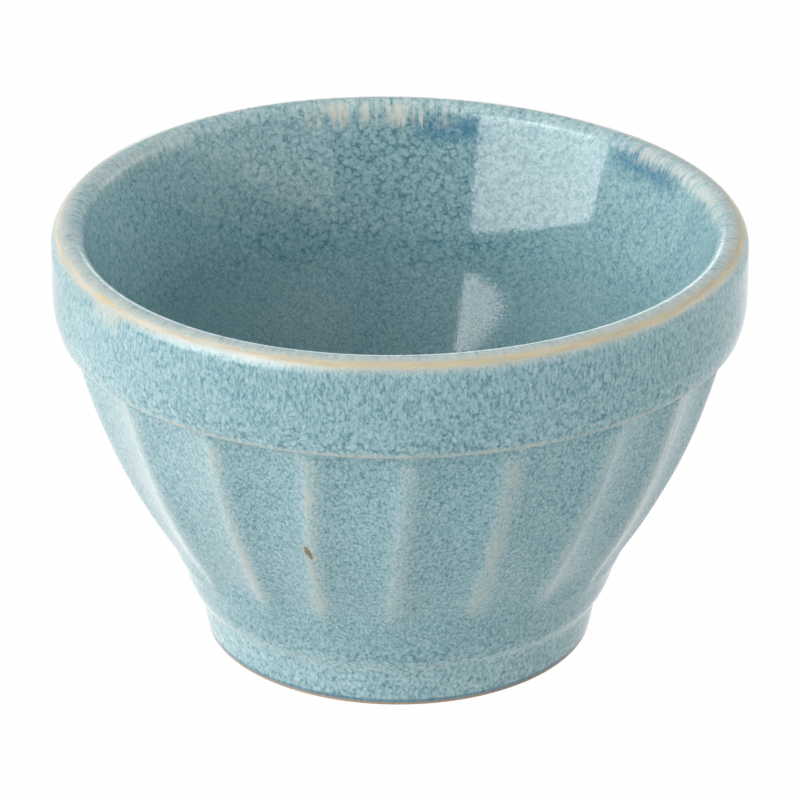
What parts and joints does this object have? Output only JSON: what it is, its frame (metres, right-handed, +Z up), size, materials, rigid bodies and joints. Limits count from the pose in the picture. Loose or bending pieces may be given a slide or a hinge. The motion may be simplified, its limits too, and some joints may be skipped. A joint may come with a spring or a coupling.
{
  "type": "prep bowl",
  "caption": "Small glazed stoneware prep bowl with an upright rim band, a fluted tapering wall and a short foot ring.",
  "frame": {"origin": "on the bowl's axis, at the level that the foot stands on", "axes": "+Z up along the axis, out of the bowl's mouth; a ridge between two flutes faces -Y, towards the camera"},
  "size_m": [0.12, 0.12, 0.0765],
  "materials": {
    "bare_clay": "matt fired stoneware, tan to beige",
    "well_glaze": "glossy reactive glaze, teal with darker blue veins",
    "wall_glaze": "glossy reactive glaze, turquoise cells in a dark teal vein network, beige where thin",
    "base_glaze": "glossy glaze, turquoise"
  },
  "bodies": {
    "root": {"clay_body": "bare_clay", "inner_glaze": "well_glaze", "outer_glaze": "wall_glaze", "base_glaze": "base_glaze"}
  },
  "joints": []
}
